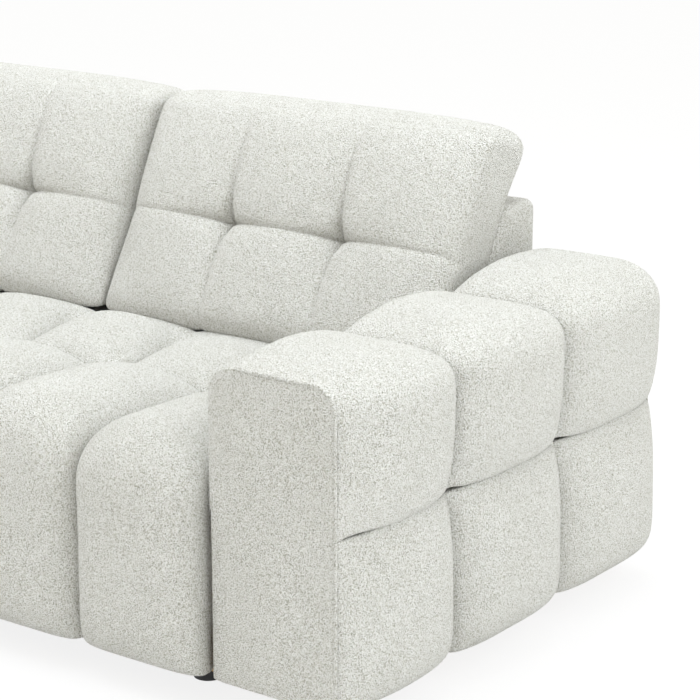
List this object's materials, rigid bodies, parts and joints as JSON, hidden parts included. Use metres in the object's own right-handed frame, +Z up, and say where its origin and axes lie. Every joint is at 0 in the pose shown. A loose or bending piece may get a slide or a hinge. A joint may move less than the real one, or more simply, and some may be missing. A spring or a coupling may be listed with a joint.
{
  "type": "corner sofa",
  "caption": "Upholstered corner sofa with channelled seat and arms, chaise end, loose tufted back cushions and a sprung timber frame on low feet.",
  "frame": {"origin": "on the floor, at the middle of the sofa's outline in width and depth", "axes": "+X along the long side to the viewer's right, -Y to the front, +Z up"},
  "size_m": [2.826, 1.668, 0.79],
  "materials": {
    "boucle": "ivory looped boucle",
    "seat_foam": "open-cell foam",
    "cushion_foam": "fibre-wrapped foam",
    "felt": "needle felt",
    "dust_cloth": "non-woven cloth",
    "timber": "planed pine",
    "plywood": "sanded plywood",
    "hardboard": "pressed board",
    "spring_steel": "black enamelled wire",
    "zinc_steel": "zinc plated",
    "foot_plastic": "moulded black plastic"
  },
  "bodies": {
    "sofa_section": {"right_arm_bolts": "zinc_steel", "right_arm_front_pad": "boucle", "right_arm_lower_pad": "boucle", "right_arm_nuts": "zinc_steel", "right_arm_posts": "timber", "right_arm_rear_pad": "boucle", "right_arm_shelves": "timber", "right_arm_side_boards": "plywood", "right_arm_upper_pad": "boucle", "sofa_back_cover": "boucle", "sofa_back_rails": "timber", "sofa_back_ribs": "plywood", "sofa_back_sheet": "hardboard", "sofa_corner_blocks": "timber", "sofa_cross_rails": "timber", "sofa_dust_cover": "dust_cloth", "sofa_feet": "foot_plastic", "sofa_long_rails": "timber", "sofa_rear_sheet": "hardboard", "sofa_seat_core": "seat_foam", "sofa_seat_pad": "boucle", "sofa_seat_springs": "spring_steel", "sofa_side_rails": "timber", "sofa_spring_clips": "spring_steel", "sofa_spring_felt": "felt", "connector_hooks": "zinc_steel"},
    "chaise_section": {"chaise_back_cover": "boucle", "chaise_back_rails": "timber", "chaise_back_ribs": "plywood", "chaise_back_sheet": "hardboard", "chaise_corner_blocks": "timber", "chaise_cross_rails": "timber", "chaise_dust_cover": "dust_cloth", "chaise_feet": "foot_plastic", "chaise_long_rails": "timber", "chaise_rear_sheet": "hardboard", "chaise_seat_core": "seat_foam", "chaise_seat_pad": "boucle", "chaise_seat_springs": "spring_steel", "chaise_side_rails": "timber", "chaise_side_skirts": "boucle", "chaise_spring_clips": "spring_steel", "chaise_spring_felt": "felt", "left_arm_bolts": "zinc_steel", "left_arm_front_pad": "boucle", "left_arm_lower_pad": "boucle", "left_arm_nuts": "zinc_steel", "left_arm_posts": "timber", "left_arm_rear_pad": "boucle", "left_arm_shelves": "timber", "left_arm_side_boards": "plywood", "left_arm_upper_pad": "boucle", "connector_catches": "zinc_steel"},
    "left_cushion": {"left_cushion_cover": "boucle", "left_cushion_core": "cushion_foam"},
    "middle_cushion": {"middle_cushion_cover": "boucle", "middle_cushion_core": "cushion_foam"},
    "right_cushion": {"right_cushion_cover": "boucle", "right_cushion_core": "cushion_foam"}
  },
  "joints": [
    {"name": "chaise_lift", "type": "slide", "parent": "sofa_section", "child": "chaise_section", "axis": [0, 0, 1], "range_m": [0, 0.06]},
    {"name": "right_cushion_draw", "type": "slide", "parent": "sofa_section", "child": "right_cushion", "axis": [0, 0.4735, 0.8808], "range_m": [0, 0.45]},
    {"name": "middle_cushion_draw", "type": "slide", "parent": "sofa_section", "child": "middle_cushion", "axis": [0, 0.4735, 0.8808], "range_m": [0, 0.45]},
    {"name": "left_cushion_draw", "type": "slide", "parent": "chaise_section", "child": "left_cushion", "axis": [0, 0.4735, 0.8808], "range_m": [0, 0.45]}
  ]
}
